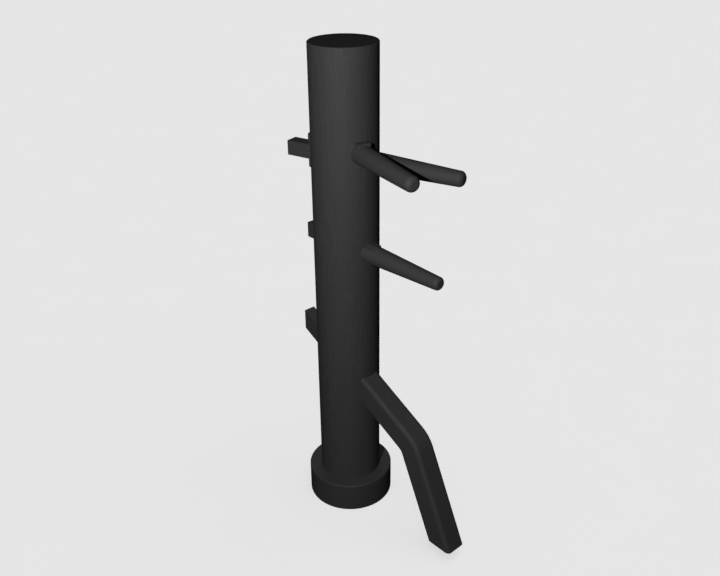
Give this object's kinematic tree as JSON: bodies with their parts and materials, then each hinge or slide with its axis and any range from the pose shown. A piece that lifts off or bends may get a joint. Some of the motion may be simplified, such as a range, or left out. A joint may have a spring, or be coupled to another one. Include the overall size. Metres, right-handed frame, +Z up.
{
  "type": "wooden wing dummy",
  "caption": "Free-standing wooden training dummy: round trunk in a base collar, tapered arms and a bent leg, each tenoned through the trunk and locked by a peg.",
  "frame": {"origin": "on the trunk's axis, at floor level", "axes": "+Z up along the trunk, -Y is the front where the arms and the leg point, +X is the right hand of a person who faces the front"},
  "size_m": [0.31, 0.7657, 1.698],
  "materials": {
    "stained_wood": "matt charcoal-black stain",
    "stained_wood_limbs": "matt charcoal-black stain",
    "stained_wood_base": "matt charcoal-black stain",
    "peg_wood": "matt charcoal-black stain",
    "rubber": "matt black",
    "zinc_steel": "bright zinc plate"
  },
  "bodies": {
    "post": {"trunk": "stained_wood", "base_collar": "stained_wood_base", "base_disc": "stained_wood_base", "floor_mat": "rubber", "lag_screws": "zinc_steel", "lag_washers": "zinc_steel", "disc_screws": "zinc_steel"},
    "upper_arm_left": {"upper_arm_left": "stained_wood_limbs"},
    "upper_arm_right": {"upper_arm_right": "stained_wood_limbs"},
    "lower_arm": {"lower_arm": "stained_wood_limbs"},
    "leg": {"leg": "stained_wood_limbs"},
    "upper_left_peg": {"upper_left_peg": "peg_wood"},
    "upper_right_peg": {"upper_right_peg": "peg_wood"},
    "lower_peg": {"lower_peg": "peg_wood"},
    "leg_peg": {"leg_peg": "peg_wood"}
  },
  "joints": [
    {"name": "upper_arm_left_slide", "type": "slide", "parent": "post", "child": "upper_arm_left", "axis": [-0.2521, -0.9677, 0], "range_m": [0, 0.0055]},
    {"name": "upper_arm_right_slide", "type": "slide", "parent": "post", "child": "upper_arm_right", "axis": [0.2521, -0.9677, 0], "range_m": [0, 0.0055]},
    {"name": "lower_arm_slide", "type": "slide", "parent": "post", "child": "lower_arm", "axis": [0, -1, 0], "range_m": [0, 0.0055]},
    {"name": "leg_slide", "type": "slide", "parent": "post", "child": "leg", "axis": [0, -0.8878, -0.4602], "range_m": [-0.0027, 0]},
    {"name": "upper_left_peg_lift", "type": "slide", "parent": "upper_arm_left", "child": "upper_left_peg", "axis": [0, 0, 1], "range_m": [0, 0.08]},
    {"name": "upper_right_peg_lift", "type": "slide", "parent": "upper_arm_right", "child": "upper_right_peg", "axis": [0, 0, 1], "range_m": [0, 0.08]},
    {"name": "lower_peg_lift", "type": "slide", "parent": "lower_arm", "child": "lower_peg", "axis": [0, 0, 1], "range_m": [0, 0.084]},
    {"name": "leg_peg_lift", "type": "slide", "parent": "leg", "child": "leg_peg", "axis": [0, 0, 1], "range_m": [0, 0.105]}
  ]
}
